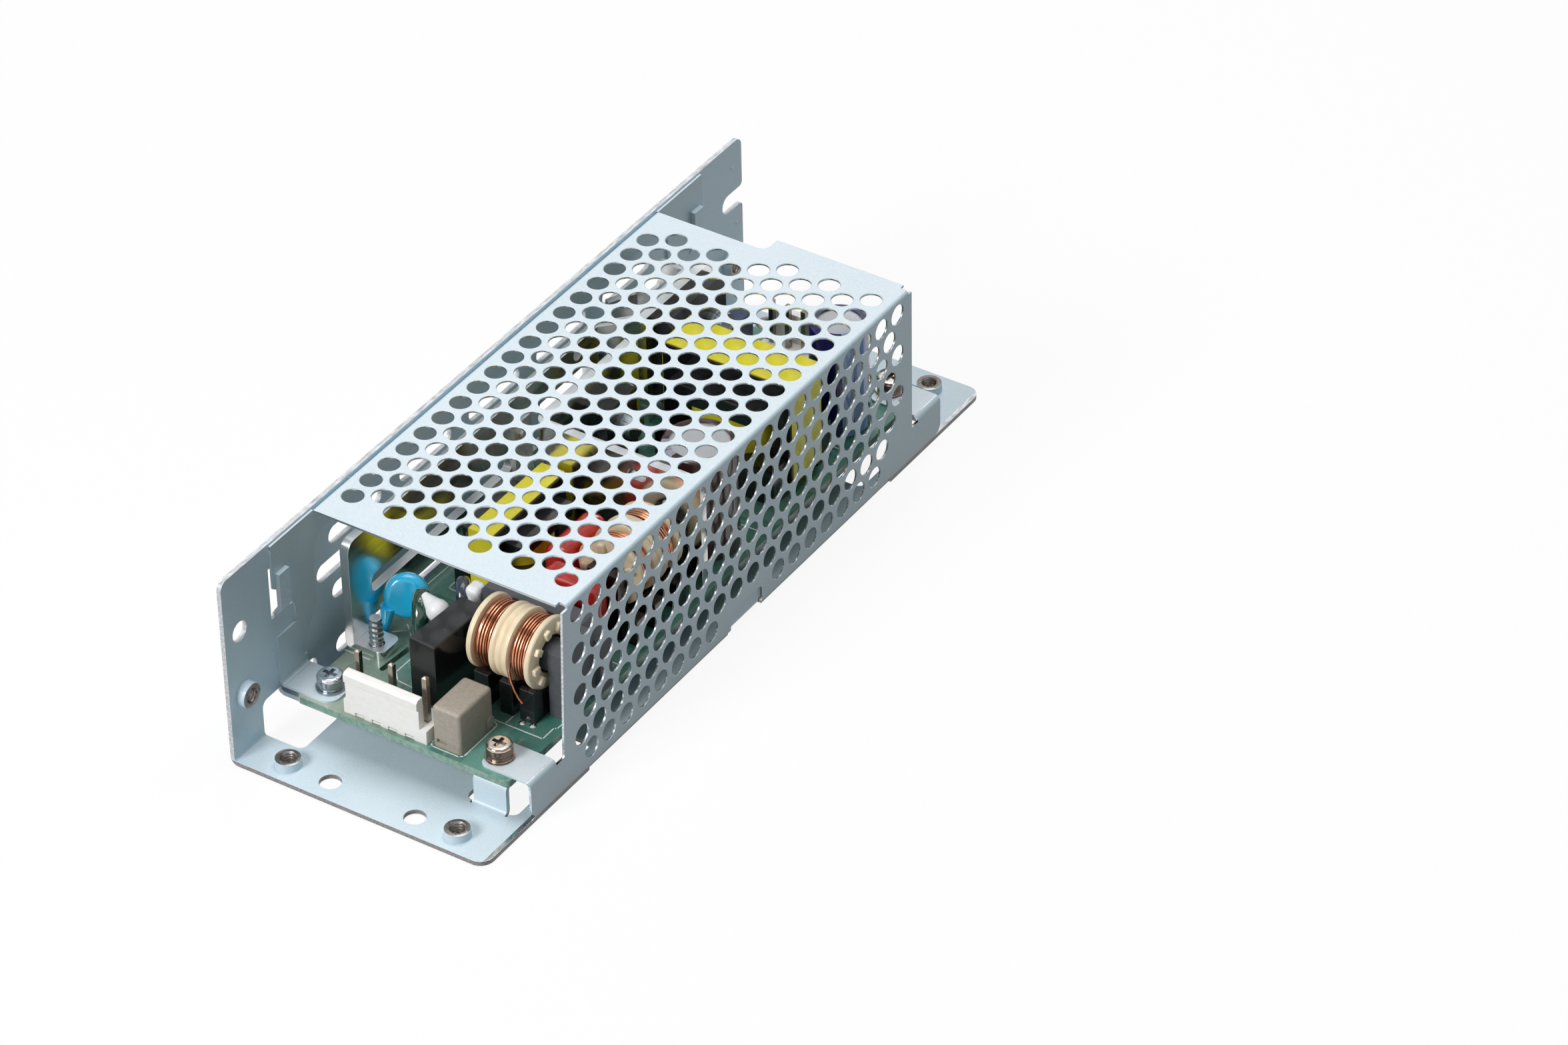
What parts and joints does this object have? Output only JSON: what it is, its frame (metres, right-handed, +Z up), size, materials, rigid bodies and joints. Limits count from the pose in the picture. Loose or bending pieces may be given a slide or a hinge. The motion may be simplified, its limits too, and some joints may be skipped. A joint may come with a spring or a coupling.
{
  "type": "enclosed switching power supply",
  "caption": "Enclosed switching power supply: folded steel chassis, perforated steel cover and a populated circuit board with a pin header at each end.",
  "frame": {"origin": "middle of the base plate's underside", "axes": "+Z up from the base plate, +Y along the length towards the output end, +X towards the perforated side"},
  "size_m": [0.06, 0.18, 0.044],
  "materials": {
    "bare_aluminium": "bright rolled aluminium",
    "black_plastic": "black moulded plastic",
    "blue_box": "dark blue box",
    "blue_dip": "glossy sky blue coating",
    "blue_sleeve": "dark blue shrink sleeve",
    "board_green": "glass-epoxy board, green solder mask",
    "brown_sleeve": "dark brown shrink sleeve",
    "can_aluminium": "pale aluminium can",
    "copper_wire": "enamelled copper wire",
    "cream_nylon": "cream nylon bobbin",
    "dark_green_dip": "glossy dark green coating",
    "ferrite": "dark grey ferrite",
    "fuse_grey": "grey-brown moulded case",
    "plated_steel": "bright nickel-plated steel",
    "red_dip": "glossy red coating",
    "steel_sheet": "zinc-plated sheet steel, cool grey, satin",
    "tinned_pin": "tinned brass pins",
    "white_nylon": "off-white nylon",
    "white_silicone": "white silicone adhesive",
    "yellow_tape": "yellow polyester tape"
  },
  "bodies": {
    "root": {"board_screws": "plated_steel", "box_capacitor": "blue_box", "bulk_capacitor_can": "can_aluminium", "bulk_capacitor_sleeve": "brown_sleeve", "chassis": "steel_sheet", "choke_1_base": "black_plastic", "choke_1_bobbin": "cream_nylon", "choke_1_core": "ferrite", "choke_1_windings": "copper_wire", "choke_2_base": "black_plastic", "choke_2_bobbin": "cream_nylon", "choke_2_core": "ferrite", "choke_2_windings": "copper_wire", "circuit_board": "board_green", "cover": "steel_sheet", "dark_disc": "black_plastic", "film_capacitor_front": "red_dip", "film_capacitor_side": "red_dip", "flat_washers": "plated_steel", "fuse": "fuse_grey", "heatsink_screw": "plated_steel", "inductor_bobbin": "black_plastic", "inductor_core": "ferrite", "inductor_tape": "yellow_tape", "inductor_winding": "yellow_tape", "input_header": "white_nylon", "input_header_pins": "tinned_pin", "main_heatsink": "bare_aluminium", "output_capacitor_can": "can_aluminium", "output_capacitor_sleeve": "blue_sleeve", "output_header": "white_nylon", "output_header_pins": "tinned_pin", "package_screws": "plated_steel", "rectifier": "black_plastic", "second_heatsink": "bare_aluminium", "silicone": "white_silicone", "spring_washers": "plated_steel", "steel_strip": "plated_steel", "surge_disc": "dark_green_dip", "transformer_bobbin": "black_plastic", "transformer_core": "ferrite", "transformer_tape": "yellow_tape", "transformer_winding": "yellow_tape", "transistor": "black_plastic", "wall_bracket": "bare_aluminium", "x_capacitor": "black_plastic", "y_capacitor": "blue_dip"}
  },
  "joints": []
}
